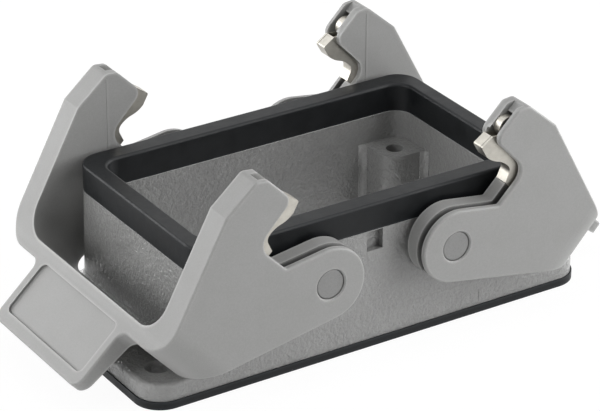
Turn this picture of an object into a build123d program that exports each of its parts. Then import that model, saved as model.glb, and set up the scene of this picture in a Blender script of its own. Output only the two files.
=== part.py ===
from build123d import *
import math
import os

# Surface-mounting connector housing, size 10 class, with two locking levers.
# Millimetres. X runs along the housing, Y across it, Z up from the panel.
# The origin is at the centre of the gasket's underside. The levers are drawn open.

# Cavity that takes the contact insert
CAVITY_LENGTH = 66.0
CAVITY_WIDTH = 36.3
CAVITY_CORNER = 3.5

# Flange and its gasket
FLANGE_END_REACH = 9.95
FLANGE_CORNER = 5.0
FLANGE_THICK = 3.4
FLANGE_EDGE = 1.0
FLANGE_HOLE_FROM_END = 5.2
FLANGE_HOLE_FROM_SIDE = 6.45
FLANGE_HOLE_DIAMETER = 4.5
GASKET_THICK = 1.5
GASKET_PROUD = 0.3
GASKET_OPENING_MARGIN = 0.5

# Walls of the open tub
WALL_END_THICK = 3.75
WALL_SIDE_THICK = 4.3
WALL_CORNER = 4.6
WALL_HEIGHT = 18.35
WALL_DRAFT = 1.0
WALL_FOOT_FILLET = 1.8
POCKET_WIDTH = 3.4
POCKET_HEIGHT = 4.0
POCKET_DEPTH = 1.3

# Insert bosses in the corners of the tub
BOSS_HEIGHT = 15.8
BOSS_CORNER = 3.4
INSERT_HOLE_SPAN_X = 57.0
INSERT_HOLE_SPAN_Y = 27.0
INSERT_HOLE_DIAMETER = 3.4
INSERT_HOLE_DEPTH = 11.0
BOSS_AROUND_HOLE_X = 4.0
BOSS_AROUND_HOLE_Y = 3.8

# Rubber profile on the rim
SEAL_HEIGHT = 5.3
SEAL_PROUD = 0.1
SEAL_OUTER_EDGE = 0.5
SEAL_INNER_EDGE = 0.6
SEAL_LIP_DROP = 0.4
SEAL_LIP_THICK = 0.9
RIM_RIB_THICK = 1.4
RIM_RIB_HEIGHT = 2.2
RIM_RIB_GAP = 0.05

# Pivot pegs, cast with the walls
PEG_SPACING = 26.8
PEG_BELOW_RIM = 4.35
PEG_DIAMETER = 5.6
PEG_EDGE = 0.3
PEG_RECESS = 0.3
COLLAR_BELOW_RIM = 0.15
PEG_RUNNING_GAP = 0.08
COLLAR_GAP = 0.35

# Lever: arms and web
LEVER_SIDE_GAP = 0.9
ARM_THICK = 5.3
ARM_EDGE = 0.4
PIVOT_END_RADIUS = 7.05
WEB_THICK = 3.0
WEB_DEPTH = 9.9
WEB_SLOPE = 42.6
WEB_FLANGE_GAP = 3.7
WEB_WALL_GAP = 2.4
WEB_OUTER_CORNER = 6.5
WEB_INNER_CORNER = 5.2
HEEL_SETBACK = 0.9
HEEL_RADIUS = 5.0

# Lever: hook and the notch for the mating peg, seen from the side
MATING_PEG_REACH = 15.4
MATING_PEG_ANGLE = 42.0
NOTCH_BEHIND_PEG = 4.6
NOTCH_RADIUS = 3.0
NOTCH_UPPER_LENGTH = 10.2
NOTCH_UPPER_ANGLE = 46.5
NOTCH_LOWER_LENGTH = 8.1
NOTCH_LOWER_ANGLE = -45.0
SHOULDER_RADIUS = 0.6
NOSE_FRONT_LENGTH = 7.0
NOSE_FRONT_ANGLE = 135.0
NOSE_CROWN_LENGTH = 2.3
NOSE_CROWN_ANGLE = 174.0
NOSE_TIP_RADIUS = 2.0
NOSE_BEND_RADIUS = 1.2
NOSE_TOP_RADIUS = 1.3
BACK_LENGTH = 8.1
BACK_ANGLE = 221.0

# Lever: thumb tab
TAB_LENGTH = 12.9
TAB_SIDE_INSET = 13.25
TAB_CORNER = 2.4
TAB_ROOT_FILLET = 1.9
TAB_ROOT_THICK = 3.8
TAB_END_THICK = 2.2
PANEL_SIDE_BORDER = 1.9
PANEL_END_BORDER = 2.5
PANEL_ROOT_INSET = 0.4
PANEL_DEPTH = 0.45
PANEL_CORNER = 1.2

# Lever: forked edges of the arms
PIVOT_SLOT_INSET = 1.0
PIVOT_SLOT_WIDTH = 1.4
PIVOT_SLOT_DEPTH = 3.6
PIVOT_SLOT_END_ANGLE = -35.0
PIVOT_HOLE_CHAMFER = 0.25
HOOK_SLOT_INSET = 1.0
HOOK_SLOT_WIDTH = 3.2
NOSE_POCKET_WIDTH = 2.6
NOSE_FLOOR_RECESS = 1.0

# Folded steel hook inserts
HOOK_GAP = 0.05
HOOK_OUTER_GAP = 0.45
HOOK_SHEET = 0.45
HOOK_NOSE_PROUD = 2.4
HOOK_BULGE = 3.05
HOOK_BULGE_FROM_TIP = 1.8
HOOK_ROOT_PROUD = 1.55
HOOK_TAIL_LENGTH = 1.8
HOOK_TAIL_ANGLE = -65.0
HOOK_TIP_RADIUS = 0.4
HOOK_LIP_BACK = 0.4
HOOK_LIP_PROUD = 0.5
HOOK_SEAM = 0.12
HOOK_BITE = 2.2
EYE_RADIUS = 2.05
EYE_FROM_TIP = 3.6
EYE_BELOW_EDGE = 2.2
EYE_POCKET_GAP = 0.4

# Heights and faces that follow from the sizes above
WALL_LENGTH = CAVITY_LENGTH + 2 * WALL_END_THICK
FLANGE_LENGTH = WALL_LENGTH + 2 * FLANGE_END_REACH
FLANGE_WIDTH = CAVITY_WIDTH + 2 * WALL_SIDE_THICK
FLANGE_HOLE_SPAN_X = FLANGE_LENGTH - 2 * FLANGE_HOLE_FROM_END
FLANGE_HOLE_SPAN_Y = FLANGE_WIDTH - 2 * FLANGE_HOLE_FROM_SIDE
FLANGE_TOP = GASKET_THICK + FLANGE_THICK
SEAT_Z = FLANGE_TOP + WALL_HEIGHT
WALL_SETBACK = WALL_HEIGHT * math.tan(math.radians(WALL_DRAFT))
RIM_LENGTH = WALL_LENGTH - 2 * WALL_SETBACK
RIM_WIDTH = FLANGE_WIDTH - 2 * WALL_SETBACK
PEG_Z = SEAT_Z - PEG_BELOW_RIM
PEG_X = PEG_SPACING / 2
ARM_INNER_Y = FLANGE_WIDTH / 2 + LEVER_SIDE_GAP
ARM_OUTER_Y = ARM_INNER_Y + ARM_THICK
PEG_HOLE_RADIUS = PEG_DIAMETER / 2 + PEG_RUNNING_GAP
TAB_WIDTH = 2 * (ARM_OUTER_Y - TAB_SIDE_INSET)
PANEL_WIDTH = TAB_WIDTH - 2 * PANEL_SIDE_BORDER


def side_point(origin, length, angle):
    """The point at a length and a heading from another, in the side view of the lever."""
    heading = math.radians(angle)
    return origin + Vector(length * math.cos(heading), length * math.sin(heading))


def tangent_point(point, radius, side):
    """Where the line from a point touches the circle round the pivot, on the side named by +1 or -1."""
    away = math.atan2(point.Y, point.X)
    half = math.acos(radius / point.length)
    heading = away + side * half
    return Vector(radius * math.cos(heading), radius * math.sin(heading))


def rounded(sketch, corner, radius):
    """A sketch with the corner nearest to a point rounded."""
    nearest = min(sketch.vertices(), key=lambda vertex: (vertex.center() - corner).length)
    return fillet(nearest, radius)


def side_prism(sketch, low, high):
    """A side view of the left lever, made solid from one distance off the middle plane to another."""
    view = Plane(origin=(-PEG_X, -low, PEG_Z), x_dir=(1, 0, 0), z_dir=(0, -1, 0))
    return extrude(view * sketch, high - low)


# Corners of the lever's side view, from the pivot
WEB_ALONG = Vector(-math.cos(math.radians(WEB_SLOPE)), -math.sin(math.radians(WEB_SLOPE)))
WEB_DOWN = Vector(math.sin(math.radians(WEB_SLOPE)), -math.cos(math.radians(WEB_SLOPE)))
WEB_LOWER_INNER = Vector(
    PEG_X - WALL_LENGTH / 2 - WEB_WALL_GAP,
    FLANGE_TOP + WEB_FLANGE_GAP - PEG_Z,
)
WEB_TOP_INNER = WEB_LOWER_INNER - WEB_DOWN * WEB_DEPTH
WEB_TOP_OUTER = WEB_TOP_INNER + WEB_ALONG * WEB_THICK
WEB_LOWER_OUTER = WEB_TOP_OUTER + WEB_DOWN * WEB_DEPTH
HEEL = WEB_TOP_INNER + WEB_ALONG * HEEL_SETBACK
MATING_PEG = side_point(Vector(0, 0), MATING_PEG_REACH, 90 + MATING_PEG_ANGLE)
NOTCH_ROOT = MATING_PEG - Vector(NOTCH_BEHIND_PEG, 0)
NOSE_TIP = side_point(NOTCH_ROOT, NOTCH_UPPER_LENGTH, NOTCH_UPPER_ANGLE)
SHOULDER = side_point(NOTCH_ROOT, NOTCH_LOWER_LENGTH, NOTCH_LOWER_ANGLE)
NOSE_BEND = side_point(NOSE_TIP, NOSE_FRONT_LENGTH, NOSE_FRONT_ANGLE)
NOSE_TOP = side_point(NOSE_BEND, NOSE_CROWN_LENGTH, NOSE_CROWN_ANGLE)
BACK_BEND = side_point(NOSE_TOP, BACK_LENGTH, BACK_ANGLE)


def ring(outer, inner):
    """A sketch of one outline with another cut out of it."""
    return outer - inner


def four_holes(span_x, span_y, diameter, bottom, top):
    """Drills for a rectangle of four upright holes."""
    drill = Cylinder(diameter / 2, top - bottom, align=(Align.CENTER, Align.CENTER, Align.MIN))
    centres = GridLocations(span_x, span_y, 2, 2)
    return Part() + [Pos(0, 0, bottom) * centre * drill for centre in centres]


def flange_holes():
    """Four clearance holes through the flange and its gasket."""
    return four_holes(FLANGE_HOLE_SPAN_X, FLANGE_HOLE_SPAN_Y, FLANGE_HOLE_DIAMETER, 0, FLANGE_TOP)


def base_gasket():
    """Flat rubber frame under the flange."""
    outline = RectangleRounded(
        FLANGE_LENGTH + 2 * GASKET_PROUD,
        FLANGE_WIDTH + 2 * GASKET_PROUD,
        FLANGE_CORNER + GASKET_PROUD,
    )
    opening = RectangleRounded(
        CAVITY_LENGTH + 2 * GASKET_OPENING_MARGIN,
        CAVITY_WIDTH + 2 * GASKET_OPENING_MARGIN,
        CAVITY_CORNER + GASKET_OPENING_MARGIN,
    )
    return extrude(ring(outline, opening), GASKET_THICK) - flange_holes()


def wall_foot_cove():
    """Concave fillet from the ears up to the end walls, cut off flush with the long sides."""
    outline = RectangleRounded(WALL_LENGTH, FLANGE_WIDTH, WALL_CORNER).wire()
    across = Plane(origin=outline @ 0, x_dir=(0, 0, 1), z_dir=outline % 0)
    block = Rectangle(WALL_FOOT_FILLET, 2 * WALL_FOOT_FILLET, align=(Align.MIN, Align.CENTER))
    hollow = Pos(WALL_FOOT_FILLET, WALL_FOOT_FILLET) * Circle(WALL_FOOT_FILLET)
    cove = sweep(across * (block - hollow), path=outline)
    cove &= Box(FLANGE_LENGTH, FLANGE_WIDTH, 2 * WALL_FOOT_FILLET)
    return Pos(0, 0, FLANGE_TOP) * cove


def insert_bosses():
    """Four screw bosses that fill the corners of the tub up to the insert's seat."""
    inner_x = (INSERT_HOLE_SPAN_X - 2 * BOSS_AROUND_HOLE_X) / 2
    inner_y = (INSERT_HOLE_SPAN_Y - 2 * BOSS_AROUND_HOLE_Y) / 2
    size_x = CAVITY_LENGTH / 2 - inner_x
    size_y = CAVITY_WIDTH / 2 - inner_y
    bosses = []
    for side_x in (-1, 1):
        for side_y in (-1, 1):
            centre = Vector(side_x * (inner_x + size_x / 2), side_y * (inner_y + size_y / 2))
            footprint = Pos(centre.X, centre.Y) * Rectangle(size_x, size_y)
            footprint = rounded(footprint, Vector(side_x * inner_x, side_y * inner_y), BOSS_CORNER)
            bosses.append(Pos(0, 0, GASKET_THICK) * extrude(footprint, BOSS_HEIGHT))
    return bosses


def pivot_peg(side_x, side_y):
    """One cast peg with its collar, standing out from a long wall."""
    outward = Plane(
        origin=(side_x * PEG_X, side_y * (CAVITY_WIDTH / 2 + POCKET_DEPTH), PEG_Z),
        x_dir=(1, 0, 0),
        z_dir=(0, side_y, 0),
    )
    start = CAVITY_WIDTH / 2 + POCKET_DEPTH
    collar_height = ARM_INNER_Y - COLLAR_GAP - start
    collar = extrude(outward * Circle(PEG_BELOW_RIM - COLLAR_BELOW_RIM), collar_height)
    peg = extrude(outward * Circle(PEG_DIAMETER / 2), ARM_OUTER_Y - PEG_RECESS - start)
    end = peg.edges().sort_by(Axis.Y)[-1 if side_y > 0 else 0]
    return collar + fillet(end, PEG_EDGE)


def housing():
    """Die-cast tub: flange with ears, drafted walls, rim rib, insert bosses and pivot pegs."""
    flange = extrude(RectangleRounded(FLANGE_LENGTH, FLANGE_WIDTH, FLANGE_CORNER), FLANGE_THICK)
    flange = fillet(flange.faces().sort_by(Axis.Z)[-1].edges(), FLANGE_EDGE)
    foot = RectangleRounded(WALL_LENGTH, FLANGE_WIDTH, WALL_CORNER)
    body = Pos(0, 0, GASKET_THICK) * (flange + extrude(foot, FLANGE_THICK))
    body += Pos(0, 0, FLANGE_TOP) * extrude(foot, WALL_HEIGHT, taper=WALL_DRAFT)
    body += wall_foot_cove()
    for side_x in (-1, 1):
        for side_y in (-1, 1):
            body += pivot_peg(side_x, side_y)
    body += rim_rib(0)
    cavity = RectangleRounded(CAVITY_LENGTH, CAVITY_WIDTH, CAVITY_CORNER)
    body -= extrude(cavity, SEAT_Z + RIM_RIB_HEIGHT)
    skirt = RectangleRounded(
        CAVITY_LENGTH + 2 * SEAL_LIP_THICK,
        CAVITY_WIDTH + 2 * SEAL_LIP_THICK,
        CAVITY_CORNER + SEAL_LIP_THICK,
    )
    body -= Pos(0, 0, SEAT_Z - SEAL_LIP_DROP) * extrude(skirt, SEAL_LIP_DROP)
    for boss in insert_bosses():
        body += boss
    boss_top = GASKET_THICK + BOSS_HEIGHT
    body -= four_holes(
        INSERT_HOLE_SPAN_X,
        INSERT_HOLE_SPAN_Y,
        INSERT_HOLE_DIAMETER,
        boss_top - INSERT_HOLE_DEPTH,
        boss_top,
    )
    body -= flange_holes()
    pocket = Box(POCKET_WIDTH, POCKET_DEPTH + WALL_SETBACK, POCKET_HEIGHT)
    for side_y in (-1, 1):
        y = side_y * (RIM_WIDTH / 2 + (WALL_SETBACK - POCKET_DEPTH) / 2)
        body -= Pos(0, y, SEAT_Z - POCKET_HEIGHT / 2) * pocket
    return body


def rim_rib(gap):
    """Thin rib on the rim that the seal is pressed over, or with a gap the groove for it."""
    middle_length = (RIM_LENGTH + CAVITY_LENGTH) / 2
    middle_width = (RIM_WIDTH + CAVITY_WIDTH) / 2
    middle_corner = (WALL_CORNER + CAVITY_CORNER) / 2
    half = RIM_RIB_THICK / 2 + gap
    outer = RectangleRounded(
        middle_length + 2 * half, middle_width + 2 * half, middle_corner + half,
    )
    inner = RectangleRounded(
        middle_length - 2 * half, middle_width - 2 * half, middle_corner - half,
    )
    return Pos(0, 0, SEAT_Z) * extrude(ring(outer, inner), RIM_RIB_HEIGHT + gap)


def rim_seal():
    """Moulded rubber frame pressed over the rim, with a short lip down inside the tub."""
    opening = RectangleRounded(CAVITY_LENGTH, CAVITY_WIDTH, CAVITY_CORNER)
    outline = RectangleRounded(
        RIM_LENGTH + 2 * SEAL_PROUD,
        RIM_WIDTH + 2 * SEAL_PROUD,
        WALL_CORNER,
    )
    seal = extrude(ring(outline, opening), SEAL_HEIGHT)
    top = seal.faces().sort_by(Axis.Z)[-1]
    seal = fillet(top.outer_wire().edges(), SEAL_OUTER_EDGE)
    top = seal.faces().sort_by(Axis.Z)[-1]
    seal = Pos(0, 0, SEAT_Z) * fillet(top.inner_wires().edges(), SEAL_INNER_EDGE)
    lip = RectangleRounded(
        CAVITY_LENGTH + 2 * SEAL_LIP_THICK,
        CAVITY_WIDTH + 2 * SEAL_LIP_THICK,
        CAVITY_CORNER + SEAL_LIP_THICK,
    )
    seal += Pos(0, 0, SEAT_Z - SEAL_LIP_DROP) * extrude(ring(lip, opening), SEAL_LIP_DROP)
    return seal - rim_rib(RIM_RIB_GAP)


def lever_side_view():
    """Outline of a lever arm from the side, with the pivot at the origin."""
    upper = tangent_point(SHOULDER, PIVOT_END_RADIUS, -1)
    lower = tangent_point(WEB_LOWER_OUTER, PIVOT_END_RADIUS, 1)
    corners = [lower, WEB_LOWER_OUTER, WEB_TOP_OUTER, HEEL, BACK_BEND]
    corners += [NOSE_TOP, NOSE_BEND, NOSE_TIP, NOTCH_ROOT, SHOULDER, upper]
    outline = Polyline(*corners)
    outline += ThreePointArc(upper, Vector(PIVOT_END_RADIUS, 0), lower)
    view = make_face(outline)
    for corner, radius in (
        (HEEL, HEEL_RADIUS),
        (NOSE_TOP, NOSE_TOP_RADIUS),
        (NOSE_BEND, NOSE_BEND_RADIUS),
        (NOSE_TIP, NOSE_TIP_RADIUS),
        (NOTCH_ROOT, NOTCH_RADIUS),
        (SHOULDER, SHOULDER_RADIUS),
    ):
        view = rounded(view, corner, radius)
    return view


def web_plane():
    """Plane of the web's upper edge: x away from the housing, y across, z down the web."""
    return Plane(
        origin=(WEB_TOP_INNER.X - PEG_X, 0, WEB_TOP_INNER.Y + PEG_Z),
        x_dir=(WEB_ALONG.X, 0, WEB_ALONG.Y),
        z_dir=(WEB_DOWN.X, 0, WEB_DOWN.Y),
    )


def lever_blank():
    """U-shaped lever without its tab: the side view, cut to the U seen along the web."""
    reach = (WEB_LOWER_INNER.length + PIVOT_END_RADIUS) * 2
    outer = Pos(WEB_THICK - reach / 2, 0) * Rectangle(reach, 2 * ARM_OUTER_Y)
    inner = Pos(-reach / 2, 0) * Rectangle(reach, 2 * ARM_INNER_Y)
    for side in (-1, 1):
        outer = rounded(outer, Vector(WEB_THICK, side * ARM_OUTER_Y), WEB_OUTER_CORNER)
        inner = rounded(inner, Vector(0, side * ARM_INNER_Y), WEB_INNER_CORNER)
    u_shape = extrude(web_plane() * ring(outer, inner), reach, both=True)
    return side_prism(lever_side_view(), -ARM_OUTER_Y, ARM_OUTER_Y) & u_shape


def tab_point(away, down):
    """A point of the tab's side view, by its distance out from the web's inner face and down the web."""
    return WEB_TOP_INNER + WEB_ALONG * away + WEB_DOWN * down


def tab_blank():
    """Thumb tab: a wedge from the web's upper edge, with coved roots and rounded corners."""
    end = WEB_THICK + TAB_LENGTH
    root_strip = Pos(WEB_THICK / 2, 0) * Rectangle(WEB_THICK, TAB_WIDTH + 4 * TAB_ROOT_FILLET)
    plan = root_strip + Pos(end / 2, 0) * Rectangle(end, TAB_WIDTH)
    for side in (-1, 1):
        plan = rounded(plan, Vector(end, side * TAB_WIDTH / 2), TAB_CORNER)
        plan = rounded(plan, Vector(WEB_THICK, side * TAB_WIDTH / 2), TAB_ROOT_FILLET)
    wedge = Polyline(
        tab_point(0, 0),
        tab_point(end, 0),
        tab_point(end, TAB_END_THICK),
        tab_point(WEB_THICK, TAB_ROOT_THICK),
        tab_point(0, TAB_ROOT_THICK),
        tab_point(0, 0),
    )
    whole = extrude(web_plane() * plan, TAB_ROOT_THICK)
    return whole & side_prism(make_face(wedge), -ARM_OUTER_Y, ARM_OUTER_Y)


def strip(start, end, reach):
    """A straight band of a side view, reaching the same distance to both sides of a line."""
    along = end - start
    angle = math.degrees(math.atan2(along.Y, along.X))
    middle = (start + end) / 2
    return Pos(middle.X, middle.Y) * Rot(0, 0, angle) * Rectangle(along.length, 2 * reach)


def band(points, reach):
    """A band along several lines of a side view, round at the joins."""
    view = strip(points[0], points[1], reach)
    for start, end in zip(points[1:], points[2:]):
        view += Pos(start.X, start.Y) * Circle(reach) + strip(start, end, reach)
    return view


def nose_point(back, out):
    """A point by its distance back from the nose tip along the front and out from the front."""
    return side_point(side_point(NOSE_TIP, back, NOSE_FRONT_ANGLE), out, NOSE_FRONT_ANGLE - 90)


def notch_circle():
    """Centre of the rounding at the notch's root."""
    opening = NOTCH_UPPER_ANGLE - NOTCH_LOWER_ANGLE
    from_root = NOTCH_RADIUS / math.sin(math.radians(opening / 2))
    return side_point(NOTCH_ROOT, from_root, (NOTCH_UPPER_ANGLE + NOTCH_LOWER_ANGLE) / 2)


def hook_tail_end():
    """Lower end of the hook insert's edge that faces the mating peg."""
    start = side_point(notch_circle(), NOTCH_RADIUS - HOOK_ROOT_PROUD, HOOK_TAIL_ANGLE - 90)
    return side_point(start, HOOK_TAIL_LENGTH, HOOK_TAIL_ANGLE)


def hook_slot_end():
    """Where the wide slot of the hook gives way to the narrow one, on the notch's lower line."""
    lower = side_point(Vector(0, 0), 1, NOTCH_LOWER_ANGLE)
    return NOTCH_ROOT + lower * ((hook_tail_end() - NOTCH_ROOT).dot(lower) + HOOK_GAP)


def hook_slot_view():
    """Wide slot along the notch, which takes the cheeks of the hook insert."""
    return band([hook_slot_end(), NOTCH_ROOT, NOSE_TIP], HOOK_BITE + HOOK_GAP)


def nose_pocket_view():
    """Groove along the front of the nose, with a pocket for the insert's rolled eye."""
    view = strip(NOSE_TIP, nose_point(NOSE_FRONT_LENGTH + NOSE_CROWN_LENGTH, 0), NOSE_FLOOR_RECESS)
    pocket = EYE_RADIUS + EYE_POCKET_GAP
    eye = nose_point(EYE_FROM_TIP, -EYE_BELOW_EDGE)
    mouth = nose_point(EYE_FROM_TIP, 0)
    view += Pos(eye.X, eye.Y) * Circle(pocket) + strip(eye, mouth, pocket)
    return view + strip(nose_point(0, -EYE_BELOW_EDGE), eye, pocket)


def pivot_slot_view():
    """Narrow slot from the hook along the arm's upper edge and round the pivot end."""
    upper = tangent_point(SHOULDER, PIVOT_END_RADIUS, -1)
    view = band([hook_slot_end(), SHOULDER, upper], PIVOT_SLOT_DEPTH)
    start = math.degrees(math.atan2(upper.Y, upper.X))
    far = 3 * PIVOT_END_RADIUS
    centre = Vector(0, 0)
    sector = Polyline(
        centre,
        side_point(centre, far, start),
        side_point(centre, far, (start + PIVOT_SLOT_END_ANGLE) / 2),
        side_point(centre, far, PIVOT_SLOT_END_ANGLE),
        centre,
    )
    rim = Circle(PIVOT_END_RADIUS + PIVOT_SLOT_DEPTH) - Circle(PIVOT_END_RADIUS - PIVOT_SLOT_DEPTH)
    return view + (rim & make_face(sector))


def both_arms(view, inset, width):
    """A side view as solids in both arms, at an inset from their outer faces."""
    outer = ARM_OUTER_Y - inset
    return side_prism(view, outer - width, outer) + side_prism(view, -outer, width - outer)


def pivot_holes():
    """Holes for the pegs through both arms, with a small chamfer outside."""
    drill = Cylinder(PEG_HOLE_RADIUS, 2 * ARM_OUTER_Y, rotation=(90, 0, 0))
    mouth = Cone(
        PEG_HOLE_RADIUS,
        PEG_HOLE_RADIUS + PIVOT_HOLE_CHAMFER,
        PIVOT_HOLE_CHAMFER,
        align=(Align.CENTER, Align.CENTER, Align.MAX),
    )
    near = Pos(0, -ARM_OUTER_Y, 0) * Rot(90, 0, 0) * mouth
    far = Pos(0, ARM_OUTER_Y, 0) * Rot(-90, 0, 0) * mouth
    return Pos(-PEG_X, 0, PEG_Z) * (drill + near + far)


def tab_panel():
    """Shallow rectangular sink in the tab's upper face, left bare."""
    start = WEB_THICK - PANEL_ROOT_INSET
    end = WEB_THICK + TAB_LENGTH - PANEL_END_BORDER
    plan = Pos((start + end) / 2, 0) * RectangleRounded(end - start, PANEL_WIDTH, PANEL_CORNER)
    return extrude(web_plane() * plan, PANEL_DEPTH)


def left_lever():
    """Lever with its tab, sunk panel, pivot holes and forked edges."""
    body = lever_blank() + tab_blank()
    outer_edges = [edge for edge in body.edges() if abs(abs(edge.center().Y) - ARM_OUTER_Y) < 1e-3]
    body = fillet(outer_edges, ARM_EDGE)
    body -= both_arms(hook_slot_view(), HOOK_SLOT_INSET, HOOK_SLOT_WIDTH)
    body -= both_arms(nose_pocket_view(), HOOK_SLOT_INSET, NOSE_POCKET_WIDTH)
    body -= both_arms(pivot_slot_view(), PIVOT_SLOT_INSET, PIVOT_SLOT_WIDTH)
    return body - pivot_holes() - tab_panel()


def hook_cheek_view():
    """Side view of a hook insert's cheek, from the lip over the nose down past the notch root."""
    lip_back = nose_point(HOOK_LIP_BACK, 0)
    tip = nose_point(-HOOK_NOSE_PROUD, HOOK_LIP_PROUD)
    bulge = nose_point(-HOOK_BULGE, -HOOK_BULGE_FROM_TIP)
    centre = notch_circle()
    radius = NOTCH_RADIUS - HOOK_ROOT_PROUD
    root_top = side_point(centre, radius, NOTCH_UPPER_ANGLE + 90)
    root_middle = side_point(centre, radius, 180)
    root_low = side_point(centre, radius, HOOK_TAIL_ANGLE - 90)
    tail_end = hook_tail_end()
    along = side_point(Vector(0, 0), 1, NOTCH_UPPER_ANGLE)
    out_of_notch = side_point(Vector(0, 0), 1, NOTCH_LOWER_ANGLE + 90)
    inner_low = tail_end - out_of_notch * ((tail_end - NOTCH_ROOT).dot(out_of_notch) + HOOK_BITE)
    opening = NOTCH_UPPER_ANGLE - NOTCH_LOWER_ANGLE
    from_corner = HOOK_BITE / math.sin(math.radians(opening / 2))
    inner_root = side_point(NOTCH_ROOT, from_corner, (NOTCH_UPPER_ANGLE + NOTCH_LOWER_ANGLE) / 2 + 180)
    inner_top = nose_point(HOOK_BITE, -HOOK_BITE)
    outline = Polyline(root_low, tail_end, inner_low, inner_root, inner_top, lip_back, tip, bulge)
    crossing = (bulge + root_top) / 2
    outline += TangentArc(bulge, crossing, tangent=along * -1)
    outline += TangentArc(root_top, crossing, tangent=along)
    outline += ThreePointArc(root_top, root_middle, root_low)
    view = rounded(make_face(outline), tip, HOOK_TIP_RADIUS)
    return rounded(view, inner_root, HOOK_BITE)


def hook_hollow_view(cheek):
    """What is empty between the cheeks: all but the sheet that faces the mating peg and the lip."""
    inside = offset(cheek, -HOOK_SHEET)
    behind_lip = HOOK_LIP_BACK + HOOK_BITE
    opened = strip(
        nose_point(behind_lip, HOOK_SHEET),
        nose_point(behind_lip, -HOOK_BITE - 2 * HOOK_SHEET),
        HOOK_BITE,
    )
    return inside + Pos(-2 * HOOK_SHEET, 0) * inside + opened


def hook_eye_view(cheek):
    """Rolled eye in the nose pocket, on a tongue from the sheet that faces the mating peg."""
    eye = nose_point(EYE_FROM_TIP, -EYE_BELOW_EDGE)
    roll = Pos(eye.X, eye.Y) * (Circle(EYE_RADIUS) - Circle(EYE_RADIUS - HOOK_SHEET))
    below = HOOK_SHEET / 2 - EYE_BELOW_EDGE - EYE_RADIUS
    end = nose_point(EYE_FROM_TIP, below)
    tongue = strip(nose_point(-HOOK_BULGE, below), end, HOOK_SHEET / 2) & cheek
    return roll + tongue + strip(nose_point(0, below), end, HOOK_SHEET / 2)


def left_hook(side):
    """Folded hook insert of the left lever: two cheeks, a lip seamed to the outer one, and the eye."""
    cheek = hook_cheek_view()
    slot_outer = ARM_OUTER_Y - HOOK_SLOT_INSET
    outer = slot_outer - HOOK_OUTER_GAP
    inner = slot_outer - HOOK_SLOT_WIDTH + HOOK_GAP
    eye_inner = slot_outer - NOSE_POCKET_WIDTH + HOOK_GAP
    seam = strip(nose_point(HOOK_LIP_BACK, 0), nose_point(-2 * HOOK_NOSE_PROUD, HOOK_LIP_PROUD), HOOK_SHEET)
    piece = side_prism(cheek, inner, outer)
    piece -= side_prism(hook_hollow_view(cheek), inner + HOOK_SHEET, outer - HOOK_SHEET)
    piece += side_prism(hook_eye_view(cheek), eye_inner, outer - HOOK_SHEET)
    piece -= side_prism(seam, outer - HOOK_SHEET - HOOK_SEAM, outer - HOOK_SHEET)
    return piece if side < 0 else mirror(piece, about=Plane.XZ)


def turned(piece):
    """The same piece at the right end: the left one turned half round."""
    return Rot(0, 0, 180) * piece


def all_pieces():
    """Every piece of the connector housing by name."""
    lever = left_lever()
    near_hook = left_hook(-1)
    far_hook = left_hook(1)
    return {
        "housing": housing(),
        "rim_seal": rim_seal(),
        "base_gasket": base_gasket(),
        "left_lever": lever,
        "right_lever": turned(lever),
        "left_hook_near": near_hook,
        "left_hook_far": far_hook,
        "right_hook_near": turned(far_hook),
        "right_hook_far": turned(near_hook),
    }


if __name__ == "__main__":
    os.makedirs("parts", exist_ok=True)
    for name, piece in all_pieces().items():
        export_step(piece, f"parts/{name}.step")
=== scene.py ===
import math

import bmesh
import bpy
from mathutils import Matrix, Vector


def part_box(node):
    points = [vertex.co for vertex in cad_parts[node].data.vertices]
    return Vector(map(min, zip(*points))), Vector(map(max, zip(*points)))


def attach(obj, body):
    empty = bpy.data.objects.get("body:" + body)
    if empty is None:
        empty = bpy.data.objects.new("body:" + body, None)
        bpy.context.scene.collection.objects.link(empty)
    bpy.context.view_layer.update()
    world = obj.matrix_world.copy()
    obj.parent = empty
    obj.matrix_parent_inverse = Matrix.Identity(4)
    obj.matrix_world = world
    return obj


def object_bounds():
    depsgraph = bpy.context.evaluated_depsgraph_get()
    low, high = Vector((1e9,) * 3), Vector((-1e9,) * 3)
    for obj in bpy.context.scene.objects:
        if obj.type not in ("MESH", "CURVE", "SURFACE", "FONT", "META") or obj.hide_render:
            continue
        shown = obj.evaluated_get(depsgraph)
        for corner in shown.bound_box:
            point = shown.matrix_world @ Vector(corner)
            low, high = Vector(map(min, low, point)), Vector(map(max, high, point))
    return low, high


bl_info = {
    "name": "Connector Housing Finish",
    "version": (1, 0, 0),
    "blender": (4, 5, 0),
    "location": "3D View > Sidebar > Connector",
    "description": "Finishes, small details and studio for a connector housing with two locking levers",
    "category": "Object",
}

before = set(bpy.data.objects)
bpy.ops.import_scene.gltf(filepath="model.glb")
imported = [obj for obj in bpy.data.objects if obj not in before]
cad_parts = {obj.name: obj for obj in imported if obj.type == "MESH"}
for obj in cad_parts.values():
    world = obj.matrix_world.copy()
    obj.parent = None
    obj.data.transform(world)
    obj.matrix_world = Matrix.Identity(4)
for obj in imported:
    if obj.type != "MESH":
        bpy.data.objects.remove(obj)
cad_low, cad_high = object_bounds()

MM = 0.001
WHITE = (1.0, 1.0, 1.0)

# Azimuth and elevation of each lamp in degrees, seen from the middle of the housing
LAMP_PLACES = {
    "front_low": (30, 12),
    "front_right_low": (60, 12),
    "front_right_high": (45, 40),
    "right_low": (90, 12),
    "right_high": (90, 65),
    "back_low": (180, 12),
    "back_high": (180, 65),
    "back_left_low": (210, 12),
    "left_low": (270, 12),
    "left_high": (270, 40),
    "top": (0, 88),
}
LAMP_WIDTH = 400 * MM
LAMP_DISTANCE = 700 * MM

# Camera, with its sensor in millimetres and its range of sight in metres
SENSOR_WIDTH = 36.0
NEAREST_SEEN = 0.01
FARTHEST_SEEN = 20.0

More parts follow.
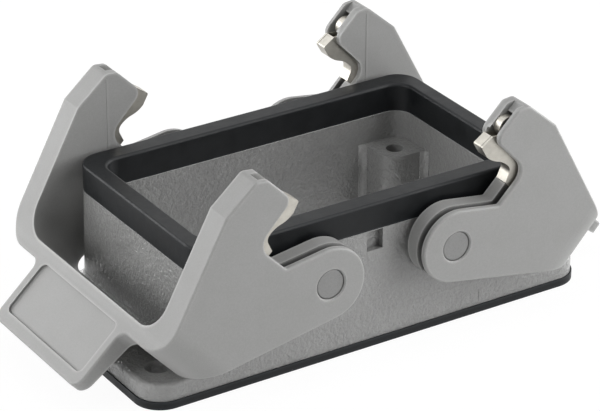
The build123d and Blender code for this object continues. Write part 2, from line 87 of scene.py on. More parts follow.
# Floor, with its reach each way counted in lengths of the whole part
FLOOR_LENGTHS = 12.0
FLOOR_GLOW_STRENGTH = 1.05

# Places on the solids that the beads, coves and raised lines follow
SEAL_WALL_X = 3.53 * MM
SEAL_WALL_Y = 4.08 * MM
SEAL_LIP_DROP = 0.4 * MM
SEAL_PROUD = 0.1 * MM
CAVITY_CORNER = 3.5 * MM
WALL_CORNER = 4.3 * MM
WALL_SETBACK = 0.32 * MM
BOSS_TOP = 17.3 * MM
BOSS_INNER_X = 24.5 * MM
BOSS_INNER_Y = 9.7 * MM
GASKET_THICK = 1.5 * MM
ARM_THICK = 5.3 * MM
PEG_START_Y = 24.5 * MM
PEG_BLEND = 1.0 * MM

# Sizes and places of the thin details
CORNER_STEPS = 8
COVE_RADIUS = 1.3 * MM
PAINT_BEAD = 0.13 * MM
BEAD_ROUNDNESS = 2
GATE_MARK_X = 23.3 * MM
GATE_MARK_Z = (2.2 * MM, 4.7 * MM)
MOULD_LINE_X = 28.4 * MM
MOULD_LINE_Z = (23.0 * MM, 41.9 * MM)

# Grain values between which a finish runs from one colour or roughness to the other
WIDE_SPREAD = (0.3, 0.7)
MIDDLE_SPREAD = (0.35, 0.65)
PIT_SPREAD = (0.3, 0.55)
FLOW_SPREAD = (0.35, 0.75)
DUST_SPREAD = (0.62, 0.75)
BRUSH_SPREAD = (0.3, 0.6)

# Openness of a spot, from 0 closed to 1 open, between which gaps get painted shade and edges get painted
# highlights
OPENNESS_SAMPLES = 8
GAP_CLOSED = 0.15
PAINT_GAP_OPEN = 0.6
LEVER_SLOT_OPEN = 0.72
EDGE_SPREAD = (0.5, 0.95)

# Paint: widths and depths as factors of its settings, shades as factors of its colour
SPECK_WIDTH = 0.4
PAINT_CLOUD_WIDTH = 12
RIPPLE_WIDTH = 1.1
DIMPLE_DEPTH = 0.2
SPECK_DEPTH = 0.03
RIPPLE_DEPTH = 1.6
PAINT_SHADES = (0.93, 1.06)
PIT_TINT = (0.92, 0.92, 0.92)
PEG_TINT = (0.77, 0.77, 0.77)
PEG_RELIEF = 0.2
PAINT_GAP_SHADE = 0.45
PAINT_SMOOTHER = 0.07
PAINT_ROUGHER = 0.12
COAT_ROUGHNESS = 0.1

# Lever plastic: widths as factors of its grain, shades as factors of its colour
LEVER_CLOUD_WIDTH = 20
LEVER_SINK_WIDTH = 30
LEVER_SINK_DEPTH = 0.06 * MM
LEVER_GRAIN_DEPTH = 0.008 * MM
LEVER_SHADES = (0.95, 1.04)
LEVER_CLOUD_TINT = (0.97, 0.97, 0.965)
LEVER_ROUGHNESS_RANGE = 0.05
LEVER_SLOT_SHADE = 0.3
# Painted highlights along the edges of the levers and the mould lines, as factors of the colour
LEVER_EDGE_LIGHT = 1.45
MOULD_LINE_EDGE_LIGHT = 1.05

# Rubber: widths and depths of its marks, shades as factors of its colour
RUBBER_FLOW_WIDTH = 3.0 * MM
RUBBER_GRAIN_WIDTH = 0.2 * MM
RUBBER_DUST_WIDTH = 0.5 * MM
RUBBER_FLOW_DEPTH = 0.06 * MM
RUBBER_GRAIN_DEPTH = 0.01 * MM
RUBBER_SHADES = (0.85, 1.15)
RUBBER_DUST_TINT = (1.5, 1.5, 1.5)
RUBBER_SMOOTHER = 0.06
RUBBER_ROUGHER = 0.08
# Painted highlight along the rubber's edges, as a factor of its colour
RUBBER_EDGE_LIGHT = 3.0
GASKET_ROUGHER = 0.1

# Steel: squeeze of its rolling lines, and its smears as a factor of the spacing of the lines
STEEL_SQUEEZE = (0.12, 1.0, 1.0)
STEEL_SMEAR_WIDTH = 14
STEEL_LINE_DEPTH = 0.0005 * MM
STEEL_SHADES = (0.92, 1.04)
STEEL_LINE_TINT = (0.93, 0.92, 0.91)
STEEL_ROUGHNESS = (0.34, 0.46)

# Each lever with the body that it rides on and the end of the housing that it stands at
LEVERS = {"left_lever": ("left_lock", -1), "right_lever": ("right_lock", 1)}
HOOKS = ("left_hook_near", "left_hook_far", "right_hook_near", "right_hook_far")
ARMS = {"near": -1, "far": 1}


def srgb(red, green, blue):
    """A colour as the linear values that Blender works in, from 0 to 255 screen values."""
    linear = []
    for value in (red, green, blue):
        share = value / 255
        linear.append(share / 12.92 if share <= 0.04045 else ((share + 0.055) / 1.055) ** 2.4)
    return tuple(linear)


def colour_prop(name, description, value):
    """A colour setting of the add-on."""
    return bpy.props.FloatVectorProperty(
        name=name,
        description=description,
        subtype="COLOR",
        size=3,
        min=0.0,
        max=1.0,
        default=value,
    )


def grain_prop(name, description, millimetres):
    """A length setting of the add-on, given in millimetres and kept in metres."""
    return bpy.props.FloatProperty(
        name=name,
        description=description,
        subtype="DISTANCE",
        unit="LENGTH",
        min=0.0,
        precision=5,
        default=millimetres * MM,
    )


def share_prop(name, description, value):
    """A setting between 0 and 1."""
    return bpy.props.FloatProperty(
        name=name,
        description=description,
        subtype="FACTOR",
        min=0.0,
        max=1.0,
        default=value,
    )


def power_prop(name, description, watts):
    """A lamp setting of the add-on."""
    return bpy.props.FloatProperty(
        name=name,
        description=description,
        subtype="POWER",
        unit="POWER",
        min=0.0,
        default=watts,
    )


class FinishSettings(bpy.types.PropertyGroup):
    """Colours and grain sizes of the connector's finishes."""

    paint_colour: colour_prop("Paint", "Powder coat of the die-cast housing", srgb(159, 159, 158))
    paint_flow: grain_prop("Paint orange peel", "Width of the waves in the powder coat", 0.9)
    paint_hammer: grain_prop("Paint hammer grain", "Width of the small dimples in the powder coat", 0.4)
    paint_depth: grain_prop("Paint relief", "Depth of the waves in the powder coat", 0.3)
    paint_roughness: share_prop("Paint roughness", "Roughness of the powder coat", 0.34)
    coat_share: share_prop("Paint gloss", "Share of the glossy skin on the powder coat", 0.7)
    lever_colour: colour_prop("Lever", "Moulded plastic of the levers", srgb(170, 170, 169))
    lever_grain: grain_prop("Lever grain", "Width of the spark-eroded grain on the levers", 0.25)
    lever_roughness: share_prop("Lever roughness", "Roughness of the levers", 0.46)
    # Gap reach and slot reach set how far the painted shade in gaps and slots spreads
    gap_reach: grain_prop("Gap reach", "How wide a gap may be and still hold shade and dirt", 2.0)
    slot_reach: grain_prop("Slot reach", "How wide a slot in a lever may be and still look dark", 3.5)
    # The pale line along edges is a painted highlight
    edge_width: grain_prop("Edge width", "Width of the pale line along moulded edges", 0.6)
    ridge_width: grain_prop("Ridge width", "Width of the raised lines left by the mould inserts", 0.5)
    ridge_height: grain_prop("Ridge height", "Height of the raised lines left by the mould inserts", 0.07)
    rubber_colour: colour_prop("Rubber", "Rim seal and gasket", srgb(24, 26, 28))
    rubber_roughness: share_prop("Rubber roughness", "Roughness of the seal and gasket", 0.42)
    rubber_sheen: share_prop("Rubber sheen", "Strength of reflections in the rubber", 0.25)
    steel_colour: colour_prop("Steel", "Stainless sheet of the hook inserts", srgb(190, 187, 179))
    steel_brush: grain_prop("Steel brush lines", "Spacing of the rolling lines in the sheet", 0.12)


class StageSettings(bpy.types.PropertyGroup):
    """Camera and lights of the studio."""

    azimuth: bpy.props.FloatProperty(
        name="Azimuth",
        description="Heading of the camera round the housing",
        subtype="ANGLE",
        default=math.radians(-32.23),
    )
    elevation: bpy.props.FloatProperty(
        name="Elevation",
        description="Height of the camera above the horizon",
        subtype="ANGLE",
        default=math.radians(26.94),
    )
    camera_place: bpy.props.FloatVectorProperty(
        name="Camera place",
        description="Where the camera stands, from the middle of the panel face",
        subtype="TRANSLATION",
        unit="LENGTH",
        size=3,
        default=(-268.0 * MM, -417.0 * MM, 271.2 * MM),
    )
    lens: bpy.props.FloatProperty(
        name="Lens",
        description="Focal length on a 36 mm sensor",
        subtype="DISTANCE_CAMERA",
        unit="CAMERA",
        default=181.55,
    )
    shift: bpy.props.FloatVectorProperty(
        name="Lens shift",
        description="Sideways and upward shift of the picture, as shares of its width",
        size=2,
        default=(0.0264, -0.0063),
    )
    floor_colour: colour_prop("Floor", "Colour of the studio floor", (0.92, 0.92, 0.92))
    floor_glow: share_prop("Floor glow", "Share of plain white the camera sees on the floor", 0.9)
    sky_level: bpy.props.FloatProperty(name="Sky", description="Even light from all round", default=0.04)
    front_low: power_prop("Front low", "Power of the low lamp in front, a little to the right", 0.85)
    front_right_low: power_prop("Front right low", "Power of the low lamp in front on the right", 1.2)
    front_right_high: power_prop("Front right high", "Power of the high lamp in front on the right", 1.25)
    right_low: power_prop("Right low", "Power of the low lamp on the right", 1.4)
    right_high: power_prop("Right high", "Power of the high lamp on the right", 0.35)
    back_low: power_prop("Back low", "Power of the low lamp behind", 1.5)
    back_high: power_prop("Back high", "Power of the high lamp behind", 0.25)
    back_left_low: power_prop("Back left low", "Power of the low lamp behind on the left", 1.8)
    left_low: power_prop("Left low", "Power of the low lamp on the left", 1.3)
    left_high: power_prop("Left high", "Power of the high lamp on the left", 0.45)
    top: power_prop("Top", "Power of the lamp overhead", 0.35)


def new_material(name):
    """An empty node material and its tree."""
    material = bpy.data.materials.new(name)
    material.use_nodes = True
    material.node_tree.nodes.clear()
    return material


def add_node(tree, kind, **values):
    """A shader node, with attributes and input values set by name."""
    node = tree.nodes.new(kind)
    for name, value in values.items():
        if hasattr(node, name):
            setattr(node, name, value)
        else:
            node.inputs[name.replace("_", " ").title()].default_value = value
    return node


def object_place(tree):
    """Position on the piece in metres, for textures at their real scale."""
    return add_node(tree, "ShaderNodeTexCoord").outputs["Object"]


def sideways(tree, place):
    """Distance from the upright plane through the middle of the housing, along its length."""
    parts = add_node(tree, "ShaderNodeSeparateXYZ")
    tree.links.new(place, parts.inputs["Vector"])
    distance = add_node(tree, "ShaderNodeMath", operation="ABSOLUTE")
    tree.links.new(parts.outputs["Y"], distance.inputs[0])
    return distance.outputs["Value"]


def noise_grain(tree, place, width, detail=2.0, roughness=0.5, distortion=0.0):
    """Fractal noise with waves of a real width."""
    noise = add_node(
        tree,
        "ShaderNodeTexNoise",
        scale=1.0 / width,
        detail=detail,
        roughness=roughness,
        distortion=distortion,
    )
    tree.links.new(place, noise.inputs["Vector"])
    return noise.outputs["Fac"]


def stretched_place(tree, place, scale):
    """Position squeezed along the axes, for lines and streaks."""
    mapping = add_node(tree, "ShaderNodeMapping")
    mapping.inputs["Scale"].default_value = scale
    tree.links.new(place, mapping.inputs["Vector"])
    return mapping.outputs["Vector"]


def remap(tree, value, from_low, from_high, to_low, to_high):
    """A value moved from one range to another and kept inside it."""
    node = add_node(
        tree,
        "ShaderNodeMapRange",
        from_min=from_low,
        from_max=from_high,
        to_min=to_low,
        to_max=to_high,
    )
    tree.links.new(value, node.inputs["Value"])
    return node.outputs["Result"]


def blend_colours(tree, share, first, second):
    """A colour between two others by a texture value."""
    node = add_node(tree, "ShaderNodeMix", data_type="RGBA")
    colour_inputs = [socket for socket in node.inputs if socket.type == "RGBA"]
    colour_inputs[0].default_value = (*first, 1.0)
    colour_inputs[1].default_value = (*second, 1.0)
    tree.links.new(share, node.inputs["Factor"])
    return next(socket for socket in node.outputs if socket.type == "RGBA")


def mottled(tree, grain, spread, first, second):
    """A colour that runs from one to another over a spread of grain values."""
    return blend_colours(tree, remap(tree, grain, *spread, 0.0, 1.0), first, second)


def multiplied(tree, first, second):
    """One texture colour times another."""
    node = add_node(tree, "ShaderNodeMix", data_type="RGBA", blend_type="MULTIPLY")
    colour_inputs = [socket for socket in node.inputs if socket.type == "RGBA"]
    tree.links.new(first, colour_inputs[0])
    tree.links.new(second, colour_inputs[1])
    node.inputs["Factor"].default_value = 1.0
    return next(socket for socket in node.outputs if socket.type == "RGBA")


def gap_painted_shade(tree, colour, reach, darkest, open_share):
    """A colour with painted shade, darker deep in the piece's own gaps and slots where shade falls."""
    shade = add_node(
        tree,
        "ShaderNodeAmbientOcclusion",
        samples=OPENNESS_SAMPLES,
        only_local=True,
        distance=reach,
    )
    painted_shade = remap(tree, shade.outputs["AO"], GAP_CLOSED, open_share, darkest, 1.0)
    return multiplied(tree, colour, painted_shade)


def painted_edge_highlights(tree, colour, width, palest):
    """A colour with painted highlights, paler along outer edges where they catch the light."""
    edge = add_node(
        tree,
        "ShaderNodeAmbientOcclusion",
        samples=OPENNESS_SAMPLES,
        inside=True,
        only_local=True,
        distance=width,
    )
    edge_highlight = remap(tree, edge.outputs["AO"], *EDGE_SPREAD, palest, 1.0)
    return multiplied(tree, colour, edge_highlight)


def bump_layer(tree, height, depth, below=None, strength=None):
    """A bump of a real depth, laid over another, and weaker where a strength says so."""
    node = add_node(tree, "ShaderNodeBump", distance=depth)
    tree.links.new(height, node.inputs["Height"])
    if below is not None:
        tree.links.new(below, node.inputs["Normal"])
    if strength is None:
        node.inputs["Strength"].default_value = 1.0
    else:
        tree.links.new(strength, node.inputs["Strength"])
    return node.outputs["Normal"]


def surface(material, colour, roughness, normal, metallic=0.0, specular=0.5, coat=None):
    """The main shader of a finish. A coat is its share, its roughness and its own normal."""
    tree = material.node_tree
    shader = add_node(tree, "ShaderNodeBsdfPrincipled")
    shader.inputs["Metallic"].default_value = metallic
    shader.inputs["Specular IOR Level"].default_value = specular
    tree.links.new(colour, shader.inputs["Base Color"])
    tree.links.new(roughness, shader.inputs["Roughness"])
    tree.links.new(normal, shader.inputs["Normal"])
    if coat is not None:
        share, coat_roughness, coat_normal = coat
        shader.inputs["Coat Weight"].default_value = share
        shader.inputs["Coat Roughness"].default_value = coat_roughness
        tree.links.new(coat_normal, shader.inputs["Coat Normal"])
    output = add_node(tree, "ShaderNodeOutputMaterial")
    tree.links.new(shader.outputs["BSDF"], output.inputs["Surface"])


def shades(colour, factors):
    """A darker and a lighter shade of a colour."""
    return [tuple(min(1.0, channel * factor) for channel in colour) for factor in factors]


def hammered_paint(settings):
    """Grey powder coat over the casting: orange-peel waves with small glossy hammered dimples."""
    material = new_material("hammered_grey_powder_coat")
    tree = material.node_tree
    place = object_place(tree)
    flow = noise_grain(tree, place, settings.paint_flow, detail=2.0, distortion=0.4)
    dimples = noise_grain(tree, place, settings.paint_hammer, detail=2.0, roughness=0.6)
    specks = noise_grain(tree, place, SPECK_WIDTH * settings.paint_hammer, detail=1.0)
    tone = noise_grain(tree, place, PAINT_CLOUD_WIDTH * settings.paint_flow, detail=4.0)
    peg_end = PEG_START_Y + PEG_BLEND
    peg_share = remap(tree, sideways(tree, place), PEG_START_Y, peg_end, 0.0, 1.0)
    calm = remap(tree, peg_share, 0.0, 1.0, 1.0, PEG_RELIEF)
    normal = bump_layer(tree, flow, settings.paint_depth, strength=calm)
    normal = bump_layer(tree, dimples, DIMPLE_DEPTH * settings.paint_depth, normal, calm)
    normal = bump_layer(tree, specks, SPECK_DEPTH * settings.paint_depth, normal)
    clouds = mottled(tree, tone, WIDE_SPREAD, *shades(settings.paint_colour, PAINT_SHADES))
    pits = mottled(tree, dimples, PIT_SPREAD, PIT_TINT, WHITE)
    smoothest = settings.paint_roughness - PAINT_SMOOTHER
    roughest = settings.paint_roughness + PAINT_ROUGHER
    rough = remap(tree, specks, *WIDE_SPREAD, smoothest, roughest)
    # The coat is darker on the peg ends
    darker_peg_ends = blend_colours(tree, peg_share, WHITE, PEG_TINT)
    colour = multiplied(tree, multiplied(tree, clouds, pits), darker_peg_ends)
    # Painted shade in the coat's own gaps and corners
    colour = gap_painted_shade(tree, colour, settings.gap_reach, PAINT_GAP_SHADE, PAINT_GAP_OPEN)
    ripple_width = RIPPLE_WIDTH * settings.paint_flow
    ripple = noise_grain(tree, place, ripple_width, detail=1.0, distortion=1.4)
    lacquer = bump_layer(tree, ripple, RIPPLE_DEPTH * settings.paint_depth, strength=calm)
    coat = (settings.coat_share, COAT_ROUGHNESS, lacquer)
    surface(material, colour, rough, normal, coat=coat)
    return material


def satin_plastic(settings, name, edge_light):
    """Satin grey lever moulding with a fine spark-eroded grain and painted highlights along its edges."""
    material = new_material(name)
    tree = material.node_tree
    place = object_place(tree)
    grain = noise_grain(tree, place, settings.lever_grain, detail=2.0)
    cloud = noise_grain(tree, place, LEVER_CLOUD_WIDTH * settings.lever_grain, detail=3.0)
    sink = noise_grain(tree, place, LEVER_SINK_WIDTH * settings.lever_grain, detail=1.0)
    normal = bump_layer(tree, sink, LEVER_SINK_DEPTH)
    normal = bump_layer(tree, grain, LEVER_GRAIN_DEPTH, normal)
    grains = mottled(tree, grain, WIDE_SPREAD, *shades(settings.lever_colour, LEVER_SHADES))
    clouds = mottled(tree, cloud, MIDDLE_SPREAD, LEVER_CLOUD_TINT, WHITE)
    smoothest = settings.lever_roughness - LEVER_ROUGHNESS_RANGE
    roughest = settings.lever_roughness + LEVER_ROUGHNESS_RANGE
    rough = remap(tree, grain, *WIDE_SPREAD, smoothest, roughest)
    # Painted highlights along the lever's edges
    colour = painted_edge_highlights(tree, multiplied(tree, grains, clouds), settings.edge_width, edge_light)
    # Painted shade in the lever's own slots
    colour = gap_painted_shade(tree, colour, settings.slot_reach, LEVER_SLOT_SHADE, LEVER_SLOT_OPEN)
    surface(material, colour, rough, normal)
    return material


def black_rubber(settings, name, roughness):
    """Moulded black rubber with faint flow marks, fine grain, a little dust and painted highlights along
    its edges.
    """
    material = new_material(name)
    tree = material.node_tree
    place = object_place(tree)
    flow = noise_grain(tree, place, RUBBER_FLOW_WIDTH, detail=3.0)
    grain = noise_grain(tree, place, RUBBER_GRAIN_WIDTH, detail=2.0)
    dust = noise_grain(tree, place, RUBBER_DUST_WIDTH, detail=4.0, roughness=0.7)
    normal = bump_layer(tree, flow, RUBBER_FLOW_DEPTH)
    normal = bump_layer(tree, grain, RUBBER_GRAIN_DEPTH, normal)
    flowing = mottled(tree, flow, FLOW_SPREAD, *shades(settings.rubber_colour, RUBBER_SHADES))
    dusted = mottled(tree, dust, DUST_SPREAD, WHITE, RUBBER_DUST_TINT)
    smoothest = roughness - RUBBER_SMOOTHER
    rough = remap(tree, flow, *WIDE_SPREAD, smoothest, roughness + RUBBER_ROUGHER)
    marked = multiplied(tree, flowing, dusted)
    # Painted highlights along the rubber's edges
    colour = painted_edge_highlights(tree, marked, settings.edge_width, RUBBER_EDGE_LIGHT)
    surface(material, colour, rough, normal, specular=settings.rubber_sheen)
    return material


def bright_steel(settings):
    """Cold-rolled stainless sheet with fine rolling lines and small smears."""
    material = new_material("bright_stainless_sheet")
    tree = material.node_tree
    place = object_place(tree)
    lines = stretched_place(tree, place, STEEL_SQUEEZE)
    brush = noise_grain(tree, lines, settings.steel_brush, detail=3.0)
    cloud = noise_grain(tree, place, STEEL_SMEAR_WIDTH * settings.steel_brush, detail=2.0)
    normal = bump_layer(tree, brush, STEEL_LINE_DEPTH)
    smears = mottled(tree, cloud, MIDDLE_SPREAD, *shades(settings.steel_colour, STEEL_SHADES))
    drawn = mottled(tree, brush, BRUSH_SPREAD, STEEL_LINE_TINT, WHITE)
    rough = remap(tree, brush, *WIDE_SPREAD, *STEEL_ROUGHNESS)
    surface(material, multiplied(tree, smears, drawn), rough, normal, metallic=1.0)
    return material


def closed_mesh(name, vertices, faces, material):
    """A closed mesh whose faces look outwards."""
    mesh = bpy.data.meshes.new(name)
    mesh.from_pydata(vertices, [], faces)
    solid = bmesh.new()
    solid.from_mesh(mesh)
    bmesh.ops.recalc_face_normals(solid, faces=solid.faces)
    solid.to_mesh(mesh)
    solid.free()
    mesh.materials.append(material)
    return mesh


def upright_prism(name, outline, low, high, material):
    """A closed prism over an outline, between two heights."""
    count = len(outline)
    vertices = [(x, y, z) for z in (low, high) for x, y in outline]
    faces = [tuple(range(count)), tuple(range(count, 2 * count))]
    for here in range(count):
        beside = (here + 1) % count
        faces.append((here, beside, beside + count, here + count))
    return closed_mesh(name, vertices, faces, material)


def linked_piece(name, data, body):
    """A new piece in the scene that rides on a body."""
    piece = bpy.data.objects.new(name, data)
    bpy.context.scene.collection.objects.link(piece)
    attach(piece, body)


def rounded_loop(half_x, half_y, corner, height):
    """Points of a rounded rectangle about the middle, at one height."""
    points = []
    for quarter in range(4):
        side_x = 1 if quarter in (0, 3) else -1
        side_y = 1 if quarter in (0, 1) else -1
        for step in range(CORNER_STEPS + 1):
            angle = math.radians(90 * (quarter + step / CORNER_STEPS))
            x = side_x * (half_x - corner) + corner * math.cos(angle)
            y = side_y * (half_y - corner) + corner * math.sin(angle)
            points.append((x, y, height))
    return points


def bead(name, points, radius, body, material):
    """A thin round bead along a closed loop of points, which rides on a body."""
    data = bpy.data.curves.new(name, "CURVE")
    data.dimensions = "3D"
    data.bevel_depth = radius
    data.bevel_resolution = BEAD_ROUNDNESS
    spline = data.splines.new("POLY")
    spline.points.add(len(points) - 1)
    for point, place in zip(spline.points, points):
        point.co = (*place, 1.0)
    spline.use_cyclic_u = True
    data.materials.append(material)
    linked_piece(name, data, body)


def coved_corner(name, corner, side_x, side_y, low, high, body, material):
    """A concave fillet that fills an inner upright corner, open towards side_x and side_y."""
    outline = [corner]
    for step in range(CORNER_STEPS + 1):
        angle = math.radians(90 * step / CORNER_STEPS)
        x = corner[0] + side_x * COVE_RADIUS * (1 - math.sin(angle))
        y = corner[1] + side_y * COVE_RADIUS * (1 - math.cos(angle))
        outline.append((x, y))
    mesh = upright_prism(name, outline, low, high, material)
    for face in mesh.polygons:
        face.use_smooth = len(face.vertices) == 4
    linked_piece(name, mesh, body)


def ridge(name, face_y, outward, centre_x, heights, settings, body, material):
    """A low flat ridge that runs up a face which looks along Y."""
    half = settings.ridge_width / 2
    slope = settings.ridge_height
    steps = ((-half - slope, -slope), (-half, slope), (half, slope), (half + slope, -slope))
    outline = [(centre_x + across, face_y + outward * proud) for across, proud in steps]
    linked_piece(name, upright_prism(name, outline, *heights, material), body)


def finish_nodes(names, material):
    """Puts one finish on whole pieces of the frame."""
    for name in names:
        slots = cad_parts[name].data.materials
        slots.clear()
        slots.append(material)


class CONNECTOR_OT_housing(bpy.types.Operator):
    """Gives the die-cast housing its hammered powder coat"""

    bl_idname = "connector.housing"
    bl_label = "Housing"

    def execute(self, context):
        finish_nodes(["housing"], hammered_paint(context.scene.connector_finish))
        return {"FINISHED"}


class CONNECTOR_OT_casting(bpy.types.Operator):
    """Adds the paint beads at the rim, the coves beside the insert bosses and the gate mark"""

    bl_idname = "connector.casting"
    bl_label = "Casting details"

    def execute(self, context):
        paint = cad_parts["housing"].data.materials[0]
        seal_low, seal_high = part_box("rim_seal")
        cavity_x = seal_high[0] - SEAL_WALL_X
        cavity_y = seal_high[1] - SEAL_WALL_Y
        inner = rounded_loop(cavity_x, cavity_y, CAVITY_CORNER, seal_low[2])
        bead("paint_bead_inside", inner, PAINT_BEAD, "base", paint)
        rim_x = seal_high[0] - SEAL_PROUD
        rim_y = seal_high[1] - SEAL_PROUD
        outer = rounded_loop(rim_x, rim_y, WALL_CORNER, seal_low[2] + SEAL_LIP_DROP)
        bead("paint_bead_outside", outer, PAINT_BEAD, "base", paint)
        for side_x in (-1, 1):
            for side_y in (-1, 1):
                corners = (
                    ("long", (side_x * BOSS_INNER_X, side_y * cavity_y)),
                    ("end", (side_x * cavity_x, side_y * BOSS_INNER_Y)),
                )
                for wall, corner in corners:
                    name = f"boss_cove_{wall}_{side_x + 1}{side_y + 1}"
                    coved_corner(
                        name, corner, -side_x, -side_y, GASKET_THICK, BOSS_TOP, "base", paint,
                    )
        settings = context.scene.connector_finish
        wall_y = -(rim_y + WALL_SETBACK)
        ridge("wall_gate_mark", wall_y, -1, GATE_MARK_X, GATE_MARK_Z, settings, "base", paint)
        return {"FINISHED"}


class CONNECTOR_OT_rubber(bpy.types.Operator):
    """Gives the rim seal and the flange gasket their black rubber"""

    bl_idname = "connector.rubber"
    bl_label = "Seal and gasket"

    def execute(self, context):
        settings = context.scene.connector_finish
        roughness = settings.rubber_roughness
        duller = roughness + GASKET_ROUGHER
        finish_nodes(["rim_seal"], black_rubber(settings, "rim_seal_rubber", roughness))
        finish_nodes(["base_gasket"], black_rubber(settings, "gasket_rubber", duller))
        return {"FINISHED"}


class CONNECTOR_OT_levers(bpy.types.Operator):
    """Gives both locking levers their satin grey plastic and the lines left by the mould"""

    bl_idname = "connector.levers"
    bl_label = "Levers"

    def execute(self, context):
        settings = context.scene.connector_finish
        moulding = satin_plastic(settings, "satin_grey_moulding", LEVER_EDGE_LIGHT)
        finish_nodes(LEVERS, moulding)
        line = satin_plastic(settings, "satin_grey_mould_line", MOULD_LINE_EDGE_LIGHT)
        for lever, (body, side_x) in LEVERS.items():
            inner_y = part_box(lever)[1][1] - ARM_THICK
            line_x = side_x * MOULD_LINE_X
            for arm, side_y in ARMS.items():
                name = f"{lever}_{arm}_mould_line"
                face_y = side_y * inner_y
                ridge(name, face_y, -side_y, line_x, MOULD_LINE_Z, settings, body, line)
        return {"FINISHED"}


class CONNECTOR_OT_hooks(bpy.types.Operator):
    """Gives the four hook inserts their bright stainless sheet"""

    bl_idname = "connector.hooks"
    bl_label = "Hook inserts"

    def execute(self, context):
        finish_nodes(HOOKS, bright_steel(context.scene.connector_finish))
        return {"FINISHED"}


def heading(azimuth, elevation):
    """Unit vector to a place round the housing. Azimuth 0 is in front of it and 90 at its right end."""
    level = math.cos(elevation)
    return Vector((math.sin(azimuth) * level, -math.cos(azimuth) * level, math.sin(elevation)))


def soft_lamp(name, azimuth, elevation, power):
    """A round soft lamp on a dome over the housing, facing its middle."""
    data = bpy.data.lights.new(name, "AREA")
    data.shape = "DISK"
    data.size = LAMP_WIDTH
    data.energy = power
    lamp = bpy.data.objects.new(name, data)
    bpy.context.scene.collection.objects.link(lamp)
    direction = heading(math.radians(azimuth), math.radians(elevation))
    lamp.location = (cad_low + cad_high) / 2 + direction * LAMP_DISTANCE
    lamp.rotation_euler = direction.to_track_quat("Z", "Y").to_euler()


def seen_directly(tree):
    """1 where the camera sees a surface, also in reflections and through glass, and 0 elsewhere."""
    path = add_node(tree, "ShaderNodeLightPath")
    seen = path.outputs["Is Camera Ray"]
    for kind in ("Is Glossy Ray", "Is Transmission Ray"):
        either = add_node(tree, "ShaderNodeMath", operation="MAXIMUM")
        tree.links.new(seen, either.inputs[0])
        tree.links.new(path.outputs[kind], either.inputs[1])
        seen = either.outputs["Value"]
    return seen


def white_backdrop(strength):
    """World that is plain white to the camera and in reflections, and dim as a light."""
    world = bpy.data.worlds.new("studio_world")
    bpy.context.scene.world = world
    world.use_nodes = True
    tree = world.node_tree
    tree.nodes.clear()
    dim = add_node(tree, "ShaderNodeBackground", strength=strength)
    white = add_node(tree, "ShaderNodeBackground", strength=1.0)
    for node in (dim, white):
        node.inputs["Color"].default_value = (*WHITE, 1.0)
    mix = add_node(tree, "ShaderNodeMixShader")
    output = add_node(tree, "ShaderNodeOutputWorld")
    tree.links.new(seen_directly(tree), mix.inputs[0])
    tree.links.new(dim.outputs["Background"], mix.inputs[1])
    tree.links.new(white.outputs["Background"], mix.inputs[2])
    tree.links.new(mix.outputs["Shader"], output.inputs["Surface"])


def floor_finish(colour, glow_share):
    """Pale floor that shows almost white to the camera and keeps a soft shadow."""
    material = new_material("studio_floor")
    tree = material.node_tree
    matte = add_node(tree, "ShaderNodeBsdfDiffuse")
    matte.inputs["Color"].default_value = (*colour, 1.0)
    glow = add_node(tree, "ShaderNodeEmission", strength=FLOOR_GLOW_STRENGTH)
    glow.inputs["Color"].default_value = (*WHITE, 1.0)
    share = add_node(tree, "ShaderNodeMath", operation="MULTIPLY")
    share.inputs[1].default_value = glow_share
    mix = add_node(tree, "ShaderNodeMixShader")
    output = add_node(tree, "ShaderNodeOutputMaterial")
    tree.links.new(seen_directly(tree), share.inputs[0])
    tree.links.new(share.outputs["Value"], mix.inputs[0])
    tree.links.new(matte.outputs["BSDF"], mix.inputs[1])
    tree.links.new(glow.outputs["Emission"], mix.inputs[2])
    tree.links.new(mix.outputs["Shader"], output.inputs["Surface"])
    return material


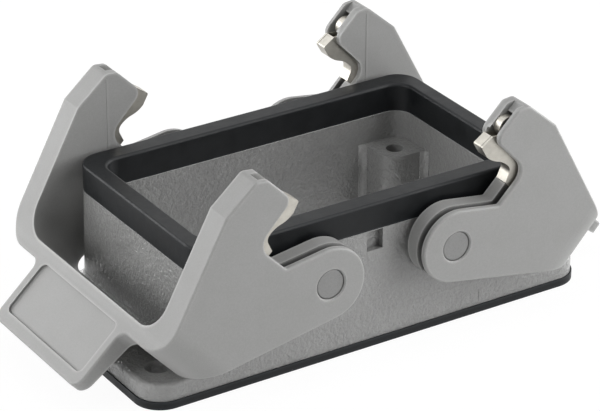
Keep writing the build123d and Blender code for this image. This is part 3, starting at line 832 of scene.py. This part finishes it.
class CONNECTOR_OT_stage(bpy.types.Operator):
    """Sets up the white floor, the lamps and the camera"""

    bl_idname = "connector.stage"
    bl_label = "Studio"

    def execute(self, context):
        settings = context.scene.connector_stage
        context.scene.view_settings.view_transform = "Standard"
        reach = FLOOR_LENGTHS * (cad_high.x - cad_low.x)
        floor_mesh = bpy.data.meshes.new("studio_floor")
        corners = [(-reach, -reach, 0), (reach, -reach, 0), (reach, reach, 0), (-reach, reach, 0)]
        floor_mesh.from_pydata(corners, [], [(0, 1, 2, 3)])
        floor_mesh.materials.append(floor_finish(settings.floor_colour, settings.floor_glow))
        floor = bpy.data.objects.new("studio_floor", floor_mesh)
        context.scene.collection.objects.link(floor)
        floor.location.z = cad_low.z
        white_backdrop(settings.sky_level)
        for name, (azimuth, elevation) in LAMP_PLACES.items():
            soft_lamp(name, azimuth, elevation, getattr(settings, name))
        camera_data = bpy.data.cameras.new("studio_camera")
        camera = bpy.data.objects.new("studio_camera", camera_data)
        context.scene.collection.objects.link(camera)
        camera_data.sensor_width = SENSOR_WIDTH
        camera_data.lens = settings.lens
        camera_data.shift_x = settings.shift[0]
        camera_data.shift_y = settings.shift[1]
        camera_data.clip_start = NEAREST_SEEN
        camera_data.clip_end = FARTHEST_SEEN
        camera.location = settings.camera_place
        camera.rotation_euler = (math.pi / 2 - settings.elevation, 0.0, settings.azimuth)
        context.scene.camera = camera
        return {"FINISHED"}


class CONNECTOR_PT_sidebar(bpy.types.Panel):
    """Sidebar panel that lists the pieces and their settings"""

    bl_idname = "CONNECTOR_PT_sidebar"
    bl_label = "Connector housing"
    bl_space_type = "VIEW_3D"
    bl_region_type = "UI"
    bl_category = "Connector"

    def draw(self, context):
        for settings in (context.scene.connector_finish, context.scene.connector_stage):
            for name in settings.bl_rna.properties.keys():
                if name not in ("rna_type", "name"):
                    self.layout.prop(settings, name)
        for operator in OPERATORS:
            self.layout.operator(operator.bl_idname)


OPERATORS = (
    CONNECTOR_OT_housing,
    CONNECTOR_OT_casting,
    CONNECTOR_OT_rubber,
    CONNECTOR_OT_levers,
    CONNECTOR_OT_hooks,
    CONNECTOR_OT_stage,
)
CLASSES = (FinishSettings, StageSettings, *OPERATORS, CONNECTOR_PT_sidebar)


def register():
    """Adds the classes and hangs both groups of settings on the scene."""
    for item in CLASSES:
        bpy.utils.register_class(item)
    bpy.types.Scene.connector_finish = bpy.props.PointerProperty(type=FinishSettings)
    bpy.types.Scene.connector_stage = bpy.props.PointerProperty(type=StageSettings)


def unregister():
    """Takes the settings and the classes away again."""
    del bpy.types.Scene.connector_stage
    del bpy.types.Scene.connector_finish
    for item in reversed(CLASSES):
        bpy.utils.unregister_class(item)


def main():
    """Registers the add-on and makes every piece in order."""
    register()
    for operator in OPERATORS:
        group, name = operator.bl_idname.split(".")
        getattr(getattr(bpy.ops, group), name)()


if __name__ == "__main__":
    main()
